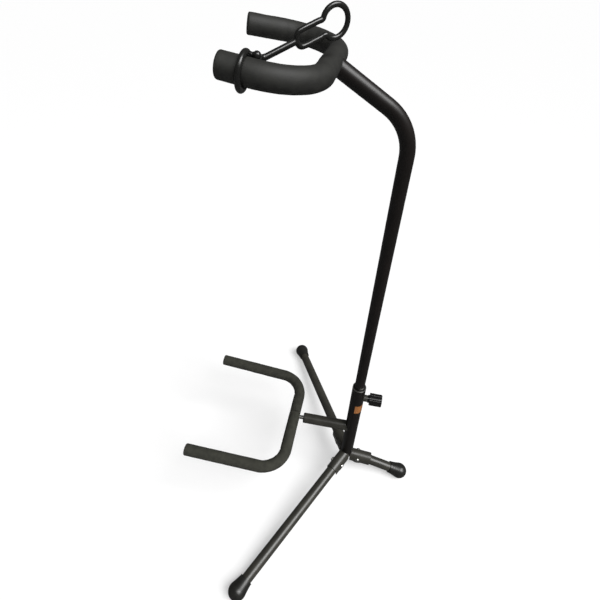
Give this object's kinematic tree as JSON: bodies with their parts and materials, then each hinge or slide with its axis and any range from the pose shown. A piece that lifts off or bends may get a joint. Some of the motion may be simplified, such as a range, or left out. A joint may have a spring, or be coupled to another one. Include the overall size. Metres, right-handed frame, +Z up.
{
  "type": "guitar stand",
  "caption": "Folding tripod guitar stand of black steel tube with a foam-covered body cradle and a height-adjustable foam neck yoke closed by a rubber strap.",
  "frame": {"origin": "centre of the bounding box in plan, on the floor plane under the feet", "axes": "+Z up along the mast, -Y towards the guitar's side where the cradle and yoke open, +Y towards the short rear leg, +X to the right when facing +Y"},
  "size_m": [0.5474, 0.3928, 0.7735],
  "materials": {
    "tube_paint": "satin",
    "frame_paint": "satin",
    "zinc_steel": "satin",
    "foam": "matte",
    "soft_rubber": "satin",
    "foot_rubber": "satin",
    "black_plastic": "matte",
    "knob_plastic": "gloss",
    "vinyl": "satin",
    "sticker": "satin"
  },
  "bodies": {
    "frame": {"base_tube": "tube_paint", "mast_bushing": "black_plastic", "base_plug": "black_plastic", "tube_label": "sticker", "leg_bracket_right": "frame_paint", "leg_bracket_left": "frame_paint", "leg_bracket_rear": "frame_paint", "leg_rivets": "zinc_steel", "cradle_arm": "frame_paint", "arm_cap": "black_plastic", "arm_guide": "black_plastic", "clamp_boss": "frame_paint"},
    "right_leg": {"leg_right": "frame_paint", "foot_right": "foot_rubber"},
    "left_leg": {"leg_left": "frame_paint", "foot_left": "foot_rubber"},
    "rear_leg": {"leg_rear": "frame_paint", "foot_rear": "foot_rubber"},
    "mast_carriage": {"glide_ring": "black_plastic"},
    "mast": {"mast_tube": "tube_paint", "mast_plug": "black_plastic", "yoke_rod": "zinc_steel", "yoke_sleeve": "foam", "yoke_tip_caps": "vinyl"},
    "strap": {"security_strap": "soft_rubber"},
    "cradle": {"cradle_rod": "zinc_steel", "cradle_stem": "zinc_steel", "cradle_sleeve_left": "foam", "cradle_sleeve_right": "foam", "cradle_tip_caps": "vinyl"},
    "clamp_slider": {"clamp_pad": "black_plastic"},
    "clamp_turn": {"clamp_screw": "zinc_steel", "clamp_knob": "knob_plastic"}
  },
  "joints": [
    {"name": "right_leg_fold", "type": "hinge", "parent": "frame", "child": "right_leg", "pos_m": [0.02636, 0.06057, 0.04452], "axis": [0.4772, 0.8788, 0], "range_deg": [0, 80]},
    {"name": "left_leg_fold", "type": "hinge", "parent": "frame", "child": "left_leg", "pos_m": [-0.02636, 0.06057, 0.04452], "axis": [0.4772, -0.8788, 0], "range_deg": [0, 80]},
    {"name": "rear_leg_fold", "type": "hinge", "parent": "frame", "child": "rear_leg", "pos_m": [0, 0.09788, 0.04065], "axis": [-1, 0, 0], "range_deg": [0, 66]},
    {"name": "mast_height", "type": "slide", "parent": "frame", "child": "mast_carriage", "axis": [0, 0, 1], "range_m": [-0.055, 0.075]},
    {"name": "mast_turn", "type": "hinge", "parent": "mast_carriage", "child": "mast", "pos_m": [0, 0.07488, 0.2], "axis": [0, 0, 1], "continuous": true},
    {"name": "cradle_swivel", "type": "hinge", "parent": "frame", "child": "cradle", "pos_m": [0, -0.03107, 0.13336], "axis": [0, -0.9996, -0.0297], "range_deg": [-90, 90]},
    {"name": "clamp_travel", "type": "slide", "parent": "frame", "child": "clamp_slider", "axis": [0, 1, 0], "range_m": [0, 0.0025]},
    {"name": "knob_turn", "type": "hinge", "parent": "clamp_slider", "child": "clamp_turn", "pos_m": [0, 0.1, 0.228], "axis": [0, 1, 0], "range_deg": [0, 720]},
    {"name": "strap_swing", "type": "hinge", "parent": "mast", "child": "strap", "pos_m": [0.1033, -0.05777, 0.73453], "axis": [0.035, 0.9878, -0.1519], "range_deg": [-8, 130]}
  ],
  "couplings": [
    {"joint": "knob_turn", "follows": "clamp_travel", "rad_per_m": 5026.5}
  ]
}
